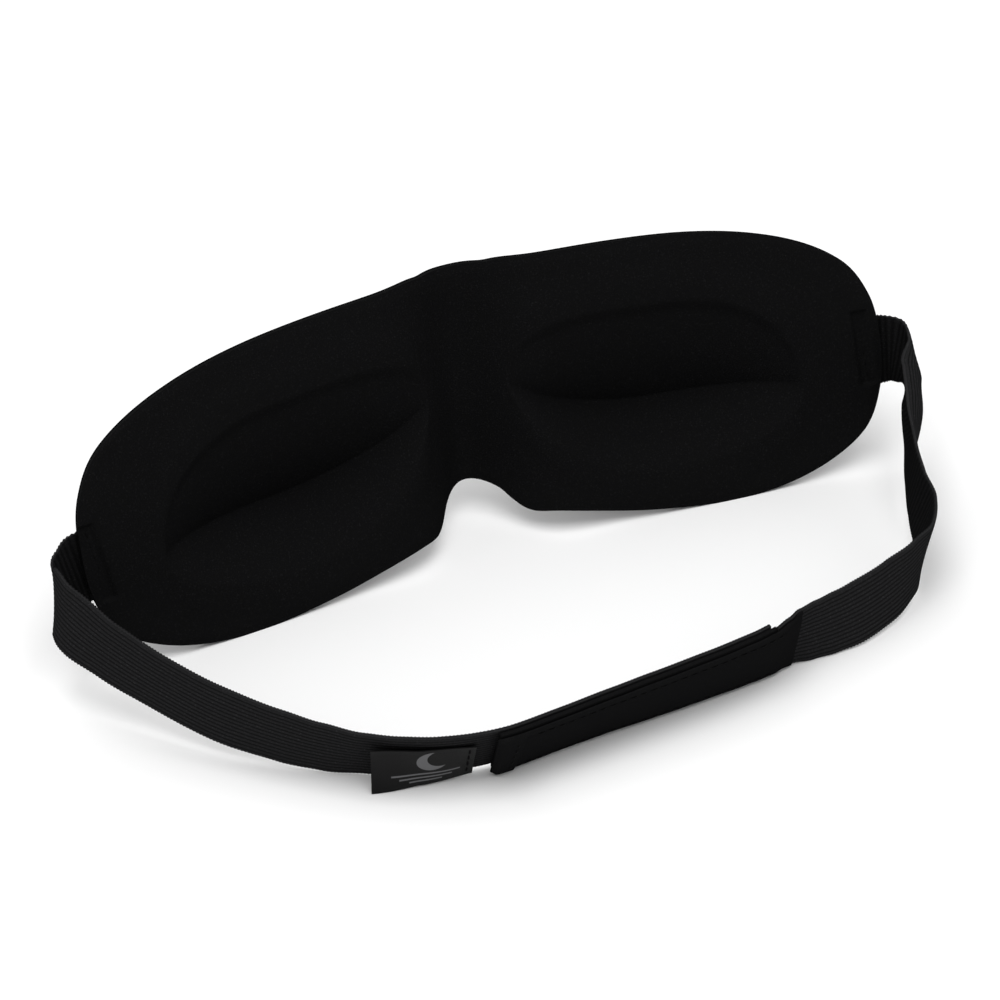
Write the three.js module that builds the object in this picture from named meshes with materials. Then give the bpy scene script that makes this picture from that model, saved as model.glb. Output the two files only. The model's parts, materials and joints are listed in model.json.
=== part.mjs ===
// A contoured sleep eye mask on an adjustable elastic strap, standing on its lower edge.
// Millimetres. X runs along the mask, -Y is the wearer's side, +Z is up and the floor is z = 0.

import * as THREE from "three";
import { mergeVertices } from "three/addons/utils/BufferGeometryUtils.js";

// The mask
const MASK_WIDTH = 226; // tip to tip
const MASK_HEIGHT = 79.2; // lobe bottom to brow, along the slope
const MASK_LEAN = THREE.MathUtils.degToRad(18.3); // it leans back, away from the strap loop
const TIP_WRAP = 8.2; // how far each tip curls toward the wearer
const COVER_THICKNESS = 0.4;
const FOAM_THICKNESS = 2;
const LINING_THICKNESS = 0.4;
const LAYER_GAP = 0.15; // between the fabrics and the foam they are moulded to
const FOOT_CLEARANCE = 0.2; // the fabrics end this far above the foam's flattened feet

// The bridge that stands off the nose
const NOSE_RIDGE = 18.9; // at the notch
const NOSE_RIDGE_TOP = 8.4; // at the brow
const NOSE_WIDTH = 12.2;

// The eye cups. Each has a crease across it, a sloping floor above that and a wall below.
const CUP_X = 51;
const CUP_HALF_WIDTH = 39.5;
const CUP_DEPTH = 15; // at the crease
const CREASE_RISE = 28.6; // along the slope
const CREASE_TURN = 56; // nearer the nose than this, the crease curves up
const CREASE_LIFT = 0.0075;
const FLOOR_HEIGHT = 31; // from the crease up to the rim
const WALL_HEIGHT = 16.5; // from the crease down to the rim
const CUP_SQUARENESS = 2.2; // 2 would make the mouth's ends oval
const FLOOR_BEND = 1.6; // above 1, the depth grows faster near the crease
const WALL_BEND = 1.35;
const END_BEND = 1.7;
const RIM_STEP = 2; // the small step inside the upper rim
const RIM_STEP_WIDTH = 4.5;

// The strap, its tapes and its label
const STRAP_WIDTH = 19;
const ELASTIC_THICKNESS = 1.3;
const TAPE_GAP = 0.2; // between layers that are sewn or pressed together
const LOOP_THICKNESS = 1.5;
const HOOK_THICKNESS = 1.2;
const TIP_FOLD_LENGTH = 11; // the hook tape's tip is folded under
const TIP_FOLD_RISE = 0.9;
const LABEL_WIDTH = 15;
const LABEL_LENGTH = 26;
const LABEL_THICKNESS = 0.4;
const LABEL_GAP = 0.7;
const TAB_LENGTH = 12; // sewn on the cover
const TAB_GAP = 0.45; // between the cover and the strap's ends
const TAB_LOW_EDGE = 24; // rise of the strap ends' lower edges on the mask
const TACK_FROM_EDGE = 3.5;
const HINGE_GAP = 1.4; // between two stretches of elastic that bend apart
const THREAD_WIDTH = 0.8;
const THREAD_THICKNESS = 0.5;
const THREAD_GAP = 0.25;
const STITCH_LENGTH = 3;

const HALF_WIDTH = MASK_WIDTH / 2;
const WIDTH_SHARE = MASK_WIDTH / 226; // the outline and the strap's route are drawn for this width
const TAB_RISE = TAB_LOW_EDGE + STRAP_WIDTH / 2;
const MASK_THICKNESS = COVER_THICKNESS + FOAM_THICKNESS + LINING_THICKNESS + 2 * LAYER_GAP;
const OUTWARD = new THREE.Vector3(0, Math.cos(MASK_LEAN), -Math.sin(MASK_LEAN));

// The right half of the outline, [x, rise along the slope], for a 226 by 79.2 mask: from the
// notch over the nose along the lobe, round the tip and back along the brow.
const OUTLINE = [
  [0, 11.8],
  [7, 10.9],
  [12.5, 6.9],
  [22, 7.2],
  [46, 2.2],
  [70, 0],
  [90, 3.4],
  [105.4, 12], // the lower corner of the tip
  [111.6, 24],
  [113, 38],
  [111, 51],
  [103.4, 62.2], // the upper corner of the tip
  [86, 71],
  [60, 76.6],
  [20, 79.2],
  [8, 77.4],
  [0, 76.2],
];
const LOWER_CORNER = 7;
const UPPER_CORNER = 11;

// The strap's route, from the left tip round to the right one: [x, y, height of its lower
// edge over the floor, lean outward in degrees]. The floor carries the front stretch.
const LEFT_ROUTE = [
  [-117.4, 3.9, 18.9, 0], // where it folds round the left tip
  [-121.2, 0.6, 17.7, -3],
  [-122.6, -5, 17.6, -9],
  [-121, -11, 16.2, -12],
  [-115.6, -20, 12.8, -4],
  [-106.6, -31.8, 8.4, 1],
  [-96, -44.2, 4.4, 2],
  [-84, -55.7, 1.9, 7],
  [-75.4, -62.7, 0.8, 12],
  [-66.4, -68.9, 0.6, 19],
  [-58, -73.7, 0.9, 22],
  [-50, -77.2, 1.2, 23.5],
  [-41.5, -79.4, 1.5, 24.5], // the label's seam
  [-34, -80.2, 1.7, 25],
  [-20, -78.9, 1.7, 25],
  [-5, -77.4, 1.7, 24],
  [7, -76.5, 1.6, 22],
  [23, -75.1, 1.5, 20],
  [36, -73.5, 1.3, 18],
  [41.6, -72.6, 1.2, 16], // the left strap's cut end
  [46, -71.3, 1, 12], // from here only the hook tape follows it
  [51, -69.6, 0.6, 7],
];
const LEFT_FOLD_ROW = 0;
const LABEL_ROW = 12;
const LEFT_END_ROW = 19;
const RIGHT_ROUTE = [
  [57.5, -70.6, 0.2, 0], // where the elastic bends as the closure is peeled
  [64, -70, 0.3, -5],
  [71.4, -68.7, 0.6, -9],
  [81.5, -65.3, 1.2, -7.5],
  [91, -60.5, 2.2, 0],
  [97.4, -54.6, 3.2, 11],
  [101.3, -47, 4.6, 12],
  [103.2, -38.3, 6.9, 6],
  [106.2, -28.5, 10, 2],
  [110.4, -17.5, 14, -2.5],
  [114.6, -7.2, 18, -3],
  [118, -1.2, 20.6, -4],
  [117.4, 3.4, 21.4, 0], // where it folds round the right tip
];
const PEEL_ROW = 3; // counted on the whole right route, after its three rows in the seam
const RIGHT_FOLD_ROW = PEEL_ROW + RIGHT_ROUTE.length - 1;

const MASK_COLUMNS = 48;
const MASK_ROWS = 16;
const EDGE_STEPS = 40; // between two drawn points of the outline
const STRAP_STEP = 2.2; // length of strap between sections
const CENTRE_CROWDING = 1.15; // above 1, the mask's grid is finer at the nose

const lerp = THREE.MathUtils.lerp;
const smoothstep = THREE.MathUtils.smoothstep;

// Mask surface

// The outline with a mirrored point past each end, so that the two halves meet without a corner.
const outline = [[-OUTLINE[1][0], OUTLINE[1][1]], ...OUTLINE, [-OUTLINE.at(-2)[0], OUTLINE.at(-2)[1]]];
const outlineCurve = new THREE.SplineCurve(
  outline.map(([x, rise]) => new THREE.Vector2(x * WIDTH_SHARE, (rise * MASK_HEIGHT) / 79.2)),
);

// The stretch of the outline between two of its drawn points.
function outlineEdge(from, to) {
  const steps = EDGE_STEPS * (to - from);
  const spans = outline.length - 1;
  const at = (i) => outlineCurve.getPoint((from + 1 + i / EDGE_STEPS) / spans);
  return new THREE.SplineCurve(Array.from({ length: steps + 1 }, (_, i) => at(i)));
}

const lowerCurve = outlineEdge(0, LOWER_CORNER);
const tipCurve = outlineEdge(LOWER_CORNER, UPPER_CORNER);
const browCurve = outlineEdge(UPPER_CORNER, OUTLINE.length - 1);
browCurve.points.reverse();

// across runs from -1 at the left tip to 1 at the right, up from 0 at the lower edge to 1 at the brow.
// The four edges are blended, so the grid follows the rounded tips.
function outlinePoint(across, up) {
  const side = Math.abs(across) ** CENTRE_CROWDING;
  const brow = browCurve.getPointAt(side);
  const lower = lowerCurve.getPointAt(side);
  const tip = tipCurve.getPointAt(up);
  const middle = { x: 0, y: lerp(lowerCurve.points[0].y, browCurve.points[0].y, up) };
  const bottomCorner = lowerCurve.points.at(-1);
  const topCorner = browCurve.points.at(-1);
  const straight = {
    x: side * lerp(bottomCorner.x, topCorner.x, up),
    y: (1 - side) * middle.y + side * lerp(bottomCorner.y, topCorner.y, up),
  };
  const x = lerp(lower.x, brow.x, up) + side * tip.x - straight.x;
  const rise = lerp(lower.y, brow.y, up) + (1 - side) * middle.y + side * tip.y - straight.y;
  return { x: Math.sign(across) * x, rise };
}

// How far the cups push the sheet outward.
function cupRelief(x, rise) {
  const side = Math.abs(x);
  const above = rise - CREASE_RISE - CREASE_LIFT * Math.max(CREASE_TURN - side, 0) ** 2;
  const beside = Math.min(Math.abs(side - CUP_X) / CUP_HALF_WIDTH, 1);
  const arch = (1 - beside ** CUP_SQUARENESS) ** (1 / CUP_SQUARENESS);
  const floorHeight = Math.max(arch * FLOOR_HEIGHT, 0.5);
  const wallHeight = Math.max(arch * WALL_HEIGHT, 0.5);
  const deepest = CUP_DEPTH * arch ** END_BEND;
  if (above <= 0) return deepest * Math.max(1 + above / wallHeight, 0) ** WALL_BEND;
  const fromRim = Math.max(1 - above / floorHeight, 0);
  const step = RIM_STEP * arch * smoothstep(fromRim * floorHeight, 0, RIM_STEP_WIDTH);
  return step + (deepest - step) * fromRim ** FLOOR_BEND;
}

// A point on the mask: depth 0 is the wearer's face of the lining and grows outward.
function maskPoint(x, rise, depth) {
  const noseShare = rise / MASK_HEIGHT;
  const ridge = lerp(NOSE_RIDGE, NOSE_RIDGE_TOP, noseShare) * Math.exp(-((x / NOSE_WIDTH) ** 2));
  const wrap = -TIP_WRAP * (x / HALF_WIDTH) ** 2;
  return new THREE.Vector3(x, rise * Math.sin(MASK_LEAN) + ridge + wrap, rise * Math.cos(MASK_LEAN))
    .addScaledVector(OUTWARD, depth + cupRelief(x, rise));
}

// Shapes

// Turns the diagonals of a box's back face, so that they lie over those of its front face.
function matchDiagonals(box) {
  const back = box.groups[3];
  for (let i = back.start; i < back.start + back.count; i += 6) {
    const [a, b, d, , c] = box.index.array.slice(i, i + 5);
    box.index.array.set([a, b, c, a, c, d], i);
  }
}

// A box whose faces are divided and then carried to their places: place(length, thickness, width),
// each from -0.5 to 0.5.
function bentBox(lengthSteps, widthSteps, place) {
  const box = new THREE.BoxGeometry(1, 1, 1, lengthSteps, 1, widthSteps);
  matchDiagonals(box);
  box.deleteAttribute("normal");
  box.deleteAttribute("uv");
  const shape = mergeVertices(box);
  const position = shape.getAttribute("position");
  for (let i = 0; i < position.count; i += 1) {
    const point = place(position.getX(i), position.getY(i), position.getZ(i));
    position.setXYZ(i, point.x, point.y, point.z);
  }
  shape.computeVertexNormals();
  return shape;
}

function maskLayer(innerDepth, thickness, lowest) {
  return bentBox(MASK_COLUMNS, MASK_ROWS, (length, through, width) => {
    const { x, rise } = outlinePoint(2 * length, width + 0.5);
    const point = maskPoint(x, rise, innerDepth + (through + 0.5) * thickness);
    point.z = Math.max(point.z, lowest);
    return point;
  });
}

// A route for flat material: its middle line, with the lean of its width at each row.
class Route {
  constructor(rows) {
    this.curve = new THREE.CatmullRomCurve3(rows.map((row) => row.point), false, "centripetal");
    this.leans = rows.map((row) => row.lean);
    this.curve.arcLengthDivisions = 40 * (rows.length - 1);
  }

  // length along the route at which it reaches a row
  lengthAt(row) {
    return this.curve.getLengths()[40 * row];
  }

  // where the material is at a length along the route, and which way it faces
  frameAt(length) {
    const t = this.curve.getUtoTmapping(0, length);
    const centre = this.curve.getPoint(t);
    const along = this.curve.getTangent(t);
    const place = t * (this.leans.length - 1);
    const row = Math.min(Math.floor(place), this.leans.length - 2);
    const share = smoothstep(place - row, 0, 1);
    const lean = lerp(this.leans[row], this.leans[row + 1], share);
    const level = new THREE.Vector3(along.y, -along.x, 0).normalize();
    const upright = new THREE.Vector3().crossVectors(level, along).normalize();
    const width = upright.clone().multiplyScalar(Math.cos(lean)).addScaledVector(level, Math.sin(lean));
    const outward = level.clone().multiplyScalar(Math.cos(lean)).addScaledVector(upright, -Math.sin(lean));
    return { centre, along, width, outward };
  }

  // a point beside the middle line: across the width, and off it outward
  point(length, across, off) {
    const { centre, width, outward } = this.frameAt(length);
    return centre.clone().addScaledVector(width, across).addScaledVector(outward, off);
  }
}

// A strip of flat material on a route. inner and outer are its faces' distances off the middle
// line, and may change along it.
function strip(route, from, to, width, inner, outer) {
  const steps = Math.max(2, Math.round((to - from) / STRAP_STEP));
  const at = (value, length) => (typeof value === "function" ? value(length) : value);
  return bentBox(steps, 1, (along, through, across) => {
    const length = lerp(from, to, along + 0.5);
    const off = lerp(at(outer, length), at(inner, length), through + 0.5);
    return route.point(length, across * width, off);
  });
}

// One line of stitches between two lengths u = 0 and 1: each stitch swells and dips again.
// place(u) gives the thread's middle on the surface, the surface's normal and the side direction.
function stitchLine(seamLength, place) {
  const stitches = Math.max(2, Math.round(seamLength / STITCH_LENGTH));
  return bentBox(2 * stitches, 1, (along, through, across) => {
    const u = along + 0.5;
    const swell = 0.35 + 0.65 * Math.abs(Math.sin(Math.PI * stitches * u));
    const { middle, normal, side } = place(u);
    const height = THREAD_GAP + (0.5 - through) * THREAD_THICKNESS * swell;
    return middle.clone().addScaledVector(normal, height).addScaledVector(side, across * THREAD_WIDTH);
  });
}

// A line of stitches that runs along a route, on its outward face at a height off the middle line.
function seamAlong(route, from, to, across, off) {
  return stitchLine(to - from, (u) => {
    const length = lerp(from, to, u);
    const { outward, width } = route.frameAt(length);
    return { middle: route.point(length, across, off), normal: outward, side: width };
  });
}

// A line of stitches straight across a route's width.
function seamAcross(route, length, low, high, off) {
  return stitchLine(high - low, (u) => {
    const { outward, along } = route.frameAt(length);
    const middle = route.point(length, lerp(low, high, u), off);
    return { middle, normal: outward, side: along.clone().negate() };
  });
}

// Materials

const lining = new THREE.MeshStandardMaterial({ color: 0x121214, roughness: 0.95, metalness: 0 });
const foam = new THREE.MeshStandardMaterial({ color: 0x2a2a2c, roughness: 0.95, metalness: 0 });
const cover = new THREE.MeshStandardMaterial({ color: 0x151517, roughness: 0.85, metalness: 0 });
const elastic = new THREE.MeshStandardMaterial({ color: 0x1e1e20, roughness: 0.8, metalness: 0 });
const tape = new THREE.MeshStandardMaterial({ color: 0x19191b, roughness: 0.75, metalness: 0 });
const satin = new THREE.MeshStandardMaterial({ color: 0x222224, roughness: 0.45, metalness: 0 });
const thread = new THREE.MeshStandardMaterial({ color: 0x1c1c1e, roughness: 0.6, metalness: 0 });

const mask = new THREE.Group();

function add(name, geometry, material) {
  const mesh = new THREE.Mesh(geometry, material);
  mesh.name = name;
  mask.add(mesh);
}

// Routes

// A row of a route that stands on the floor, or over it by lift.
function standingRow([x, y, lift, leanDegrees]) {
  const lean = THREE.MathUtils.degToRad(leanDegrees);
  const halfHeight = (STRAP_WIDTH / 2) * Math.cos(lean) + (ELASTIC_THICKNESS / 2) * Math.abs(Math.sin(lean));
  return { point: new THREE.Vector3(x * WIDTH_SHARE, y, lift + halfHeight), lean };
}

const edgeX = outlinePoint(1, 0.5).x;
const tabOff = MASK_THICKNESS + TAB_GAP + ELASTIC_THICKNESS / 2;

// The rows of a strap end on the cover of one tip, from its cut end to just past the edge.
function tabRows(side) {
  return [edgeX - TAB_LENGTH, edgeX - TAB_LENGTH / 2, edgeX].map((x) => ({
    point: maskPoint(side * x, TAB_RISE, tabOff),
    lean: MASK_LEAN,
  }));
}

const TAB_ROWS = 3;
const leftRoute = new Route([...tabRows(-1), ...LEFT_ROUTE.map(standingRow)]);
const leftFold = leftRoute.lengthAt(TAB_ROWS + LEFT_FOLD_ROW);
const labelSeam = leftRoute.lengthAt(TAB_ROWS + LABEL_ROW);
const leftEnd = leftRoute.lengthAt(TAB_ROWS + LEFT_END_ROW);
const hookEnd = leftRoute.curve.getLength();

const loopInner = ELASTIC_THICKNESS / 2 + TAPE_GAP;
const loopOuter = loopInner + LOOP_THICKNESS;
const hookInner = loopOuter + TAPE_GAP;
const hookOuter = hookInner + HOOK_THICKNESS;

// The right strap's end lies under the hook tape's end, just past the left strap's cut end.
const seamStart = leftEnd + 1;
const underHook = hookInner - TAPE_GAP - ELASTIC_THICKNESS / 2;
const seamRows = [seamStart, (seamStart + hookEnd) / 2, hookEnd].map((length) => {
  const { width, outward } = leftRoute.frameAt(length);
  return { point: leftRoute.point(length, 0, underHook), lean: Math.atan2(-outward.z, width.z) };
});
const rightRoute = new Route([...seamRows, ...RIGHT_ROUTE.map(standingRow), ...tabRows(1).reverse()]);
const peelFold = rightRoute.lengthAt(PEEL_ROW);
const rightFold = rightRoute.lengthAt(RIGHT_FOLD_ROW);
const rightTabEnd = rightRoute.curve.getLength();

// The label's row at its seam lies on the strap's lower part; its free end hangs to the floor.
const labelDrop = (LABEL_WIDTH - STRAP_WIDTH) / 2;
const labelOff = ELASTIC_THICKNESS / 2 + LABEL_GAP + LABEL_THICKNESS / 2;
const labelRoute = new Route([
  { point: new THREE.Vector3(-67 * WIDTH_SHARE, -72.9, 7.7), lean: THREE.MathUtils.degToRad(4) },
  { point: new THREE.Vector3(-54.5 * WIDTH_SHARE, -77.6, 7.8), lean: THREE.MathUtils.degToRad(15) },
  { point: leftRoute.point(labelSeam, labelDrop, labelOff), lean: THREE.MathUtils.degToRad(24.5) },
]);

// The mask's three layers

function addMaskLayers() {
  add("face_lining", maskLayer(0, LINING_THICKNESS, FOOT_CLEARANCE), lining);
  const foamDepth = LINING_THICKNESS + LAYER_GAP;
  add("foam_core", maskLayer(foamDepth, FOAM_THICKNESS, 0), foam);
  const coverDepth = foamDepth + FOAM_THICKNESS + LAYER_GAP;
  add("front_cover", maskLayer(coverDepth, COVER_THICKNESS, FOOT_CLEARANCE), cover);
}

// The elastic

function addElastic() {
  const half = ELASTIC_THICKNESS / 2;
  const gap = HINGE_GAP / 2;
  add("strap_end_left", strip(leftRoute, 0, leftFold - gap, STRAP_WIDTH, -half, half), elastic);
  add("strap_left", strip(leftRoute, leftFold + gap, leftEnd, STRAP_WIDTH, -half, half), elastic);
  add("strap_at_closure", strip(rightRoute, 0, peelFold - gap, STRAP_WIDTH, -half, half), elastic);
  add("strap_right", strip(rightRoute, peelFold + gap, rightFold - gap, STRAP_WIDTH, -half, half), elastic);
  add("strap_end_right", strip(rightRoute, rightFold + gap, rightTabEnd, STRAP_WIDTH, -half, half), elastic);
}

// The closure: a loop tape on the left strap, and a hook tape on the end of the right one

const loopStart = labelSeam + 2.4;
const hookStart = labelSeam + 4.5;
const tapeWidth = STRAP_WIDTH - 0.4;

function addTapes() {
  const fold = (length) => TIP_FOLD_RISE * (1 - smoothstep(length, hookStart + TIP_FOLD_LENGTH - 3,
    hookStart + TIP_FOLD_LENGTH));
  add("loop_tape", strip(leftRoute, loopStart, leftEnd - 0.3, tapeWidth, loopInner, loopOuter), tape);
  add("hook_tape", strip(leftRoute, hookStart, hookEnd, tapeWidth, hookInner,
    (length) => hookOuter + fold(length)), tape);
}

// The label, sewn down at its right end only

function addLabel() {
  const end = labelRoute.curve.getLength();
  const half = LABEL_THICKNESS / 2;
  add("care_label", strip(labelRoute, end - LABEL_LENGTH, end, LABEL_WIDTH, -half, half), satin);
  const low = 1 - LABEL_WIDTH / 2;
  add("label_stitch", seamAcross(labelRoute, end - 1.6, low, -low, half), thread);
}

// The stitching

// Stitches across the strap's end: one line on the elastic and one, under it, on the lining.
function addTack(name, side, route, length) {
  const reach = STRAP_WIDTH / 2 - 1;
  add(name + "_front", seamAcross(route, length, -reach, reach, ELASTIC_THICKNESS / 2), thread);
  const x = side * (edgeX - TACK_FROM_EDGE);
  add(name + "_back", stitchLine(2 * reach, (u) => ({
    middle: maskPoint(x, TAB_RISE - reach + 2 * reach * u, 0),
    normal: OUTWARD.clone().negate(),
    side: new THREE.Vector3(-1, 0, 0),
  })), thread);
}

function addStitching() {
  addTack("tack_left", -1, leftRoute, TAB_LENGTH - TACK_FROM_EDGE);
  addTack("tack_right", 1, rightRoute, rightTabEnd - TAB_LENGTH + TACK_FROM_EDGE);
  const inset = tapeWidth / 2 - 1.6;
  const seamEdge = seamStart + 1.5;
  const run = hookStart + TIP_FOLD_LENGTH + 2;
  add("hook_stitch_upper", seamAlong(leftRoute, run, seamEdge - 1.5, inset, hookOuter), thread);
  add("hook_stitch_lower", seamAlong(leftRoute, run, seamEdge - 1.5, -inset, hookOuter), thread);
  add("hook_stitch_seam", seamAcross(leftRoute, seamEdge, -inset, inset, hookOuter), thread);
  const onFold = hookOuter + TIP_FOLD_RISE;
  add("hook_stitch_tip", seamAcross(leftRoute, hookStart + 5.5, -inset, inset, onFold), thread);
  add("loop_stitch", seamAcross(leftRoute, loopStart + 1, -inset, inset, loopOuter), thread);
}

addMaskLayers();
addElastic();
addTapes();
addLabel();
addStitching();

// The origin is under the middle of the whole object's box, on the floor.
const box = new THREE.Box3().setFromObject(mask);
mask.position.set(-(box.min.x + box.max.x) / 2, -(box.min.y + box.max.y) / 2, -box.min.z);

export default mask;
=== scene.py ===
# %% [markdown]
# # A contoured sleep mask on its elastic strap
# The mask is one sheet of moulded foam between two thin fabrics. It stands on its lower edge and
# leans back. A ribbed elastic strap runs from tip to tip and closes with hook-and-loop tape.
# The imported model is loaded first, as a frame that nothing here may move.

# %% load the frame
import json
import math

import bmesh
import bpy
import numpy as np
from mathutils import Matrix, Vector


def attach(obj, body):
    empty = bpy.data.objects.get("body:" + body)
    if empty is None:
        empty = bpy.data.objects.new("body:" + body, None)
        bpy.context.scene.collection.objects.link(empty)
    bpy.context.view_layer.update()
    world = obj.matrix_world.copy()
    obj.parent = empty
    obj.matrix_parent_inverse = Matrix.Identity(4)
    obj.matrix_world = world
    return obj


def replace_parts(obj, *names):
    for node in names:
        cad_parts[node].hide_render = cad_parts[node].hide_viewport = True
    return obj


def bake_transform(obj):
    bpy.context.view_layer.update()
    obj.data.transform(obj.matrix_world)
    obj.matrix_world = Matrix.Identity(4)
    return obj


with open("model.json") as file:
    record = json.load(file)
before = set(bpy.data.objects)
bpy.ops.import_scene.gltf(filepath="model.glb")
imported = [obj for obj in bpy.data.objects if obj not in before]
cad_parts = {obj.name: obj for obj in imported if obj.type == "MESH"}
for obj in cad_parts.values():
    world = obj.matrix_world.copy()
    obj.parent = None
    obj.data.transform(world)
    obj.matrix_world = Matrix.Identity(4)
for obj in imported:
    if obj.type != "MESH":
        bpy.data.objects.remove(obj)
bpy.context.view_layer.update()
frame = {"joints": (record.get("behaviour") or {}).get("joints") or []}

joints = {joint["name"]: joint for joint in frame["joints"]}

# %% [markdown]
# ## Lengths and places
# All shapes are worked out in millimetres, in a drawing frame whose x = 0 is the nose. The right
# strap's hinge has a known place in both frames, so it says how far the drawing has to be moved.

# %% from the drawing to the frame
MM = 0.001
RIGHT_FOLD = np.array([117.4, 3.4])
found = joints["right_strap_swing"]["pos_m"]
SHIFT = np.array([found[0] / MM - RIGHT_FOLD[0], found[1] / MM - RIGHT_FOLD[1], 0])


def placed(points):
    """Drawing millimetres to frame metres."""
    return (np.asarray(points, float) + SHIFT) * MM


print("the drawing moves by", SHIFT.round(2), "mm")

# %% [markdown]
# ## Camera
# A long lens from a little over a metre away keeps the two lobes nearly the same size. It looks
# down at the wearer's side, from the left of the middle.

# %% camera
CAMERA_AZIMUTH = math.radians(-23.8)
CAMERA_HEIGHT = math.radians(38)
CAMERA_DISTANCE = 1269
CAMERA_LENS = 187.6
LOOK_AT = (-27.6, -64.2, 74)

back = Vector((math.sin(CAMERA_AZIMUTH) * math.cos(CAMERA_HEIGHT),
               -math.cos(CAMERA_AZIMUTH) * math.cos(CAMERA_HEIGHT),
               math.sin(CAMERA_HEIGHT)))
camera = bpy.data.objects.new("camera", bpy.data.cameras.new("camera"))
bpy.context.scene.collection.objects.link(camera)
camera.location = Vector(placed(LOOK_AT)) + back * CAMERA_DISTANCE * MM
camera.rotation_mode = "QUATERNION"
camera.rotation_quaternion = (-back).to_track_quat("-Z", "Y")
camera.data.lens = CAMERA_LENS
camera.data.sensor_width = 36
camera.data.clip_start, camera.data.clip_end = 0.05, 20
bpy.context.scene.camera = camera
print("camera at", [round(c, 3) for c in camera.location])

# %% [markdown]
# ## Floor and light
# Black cloth shows its shape by how much of the white room each part of it faces. One wide soft
# lamp hangs overhead and lights what faces up. A weak one behind picks out the top edges, and a
# white world fills in all round.

# %% floor and light
FLOOR_SIZE = 12
scene = bpy.context.scene
scene.view_settings.view_transform = "Standard"


def plain_material(name, colour, roughness):
    """A material with only a colour, for what isn't part of the object."""
    made = bpy.data.materials.new(name)
    made.use_nodes = True
    shader = made.node_tree.nodes["Principled BSDF"]
    shader.inputs["Base Color"].default_value = (*colour, 1)
    shader.inputs["Roughness"].default_value = roughness
    shader.inputs["Specular IOR Level"].default_value = 0
    return made


def lamp(name, place, aim, size, power):
    """A square soft lamp that faces a point."""
    data = bpy.data.lights.new(name, "AREA")
    data.size, data.energy = size, power
    made = bpy.data.objects.new(name, data)
    made.location = place
    made.rotation_euler = (Vector(aim) - Vector(place)).to_track_quat("-Z", "Y").to_euler()
    scene.collection.objects.link(made)


half = FLOOR_SIZE / 2
corners = [(-half, -half, 0), (half, -half, 0), (half, half, 0), (-half, half, 0)]
sweep = bpy.data.meshes.new("floor")
sweep.from_pydata(corners, [], [(0, 1, 2, 3)])
sweep.materials.append(plain_material("white floor", (0.93, 0.93, 0.93), 0.9))
floor = bpy.data.objects.new("floor", sweep)
scene.collection.objects.link(floor)

world = bpy.data.worlds.new("white room")
world.use_nodes = True
world.node_tree.nodes["Background"].inputs["Color"].default_value = (1, 1, 1, 1)
world.node_tree.nodes["Background"].inputs["Strength"].default_value = 0.6
scene.world = world
lamp("lamp overhead", (-0.15, -0.25, 1.6), (0, 0, 0.03), 1.3, 17.5)
lamp("lamp behind", (-0.1, 1.0, 1.35), (0, 0, 0.03), 1.1, 4)
print("floor", FLOOR_SIZE, "m wide, two lamps")

# %% [markdown]
# ## Building meshes
# Nearly every piece here is a sheet: it has two faces that are grids of points, and a rim
# that joins them. So one helper makes them all. It takes the two grids, and keeps each point's
# place on the flat cloth as UV, in millimetres, for the weave.

# %% sheets from two grids
def link_mesh(name, vertices, faces, uv=None):
    """A new object from points in metres and lists of corners, smooth, with its faces turned outward."""
    mesh = bpy.data.meshes.new(name)
    mesh.from_pydata(vertices.tolist(), [], faces)
    if uv is not None:
        layer = mesh.uv_layers.new(name="cloth")
        corner = np.empty(len(mesh.loops), int)
        mesh.loops.foreach_get("vertex_index", corner)
        layer.data.foreach_set("uv", np.asarray(uv, np.float32)[corner].ravel())
    shape = bmesh.new()
    shape.from_mesh(mesh)
    bmesh.ops.recalc_face_normals(shape, faces=shape.faces)
    shape.to_mesh(mesh)
    shape.free()
    mesh.shade_smooth()
    made = bpy.data.objects.new(name, mesh)
    scene.collection.objects.link(made)
    return made


INSIDE_UV = 100


def sheet_of(name, outer, inner, uv):
    """A closed sheet from two grids of points (rows, columns, 3) in drawing millimetres.
    The inner face's UV lies INSIDE_UV further up, so a cloth can tell its two faces apart."""
    rows, columns = outer.shape[:2]
    index = np.arange(rows * columns).reshape(rows, columns)
    cells = np.stack([index[:-1, :-1], index[1:, :-1], index[1:, 1:], index[:-1, 1:]], -1).reshape(-1, 4)
    under = index + rows * columns
    rim = np.concatenate([index[0, :], index[1:, -1], index[-1, -2::-1], index[-2::-1, 0]])
    low = np.concatenate([under[0, :], under[1:, -1], under[-1, -2::-1], under[-2::-1, 0]])
    wall = np.stack([rim[:-1], rim[1:], low[1:], low[:-1]], -1)
    faces = np.concatenate([cells, cells[:, ::-1] + rows * columns, wall])
    vertices = placed(np.concatenate([outer.reshape(-1, 3), inner.reshape(-1, 3)]))
    flat = np.concatenate([uv.reshape(-1, 2), uv.reshape(-1, 2) + (0, INSIDE_UV)])
    made = link_mesh(name, vertices, faces.tolist(), flat)
    sharpen(made, wall)
    return made


def sharpen(piece, wall):
    """The rim's edges stay crisp."""
    mesh = piece.data
    keys = {tuple(sorted(pair)) for a, b, c, d in wall.tolist() for pair in ((a, b), (c, d))}
    sharp = [tuple(sorted(edge.vertices)) in keys for edge in mesh.edges]
    attribute = mesh.attributes.new("sharp_edge", "BOOLEAN", "EDGE")
    attribute.data.foreach_set("value", sharp)


def smooth(t):
    """From 0 to 1 with soft ends."""
    t = np.clip(t, 0, 1)
    return t * t * (3 - 2 * t)


def between(t, start, full, ease, end):
    """From 0 at start to 1 between full and ease, and back to 0 at end, with soft ends."""
    return smooth((t - start) / (full - start)) * (1 - smooth((t - ease) / (end - ease)))


print("helpers for sheets are ready")

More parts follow.
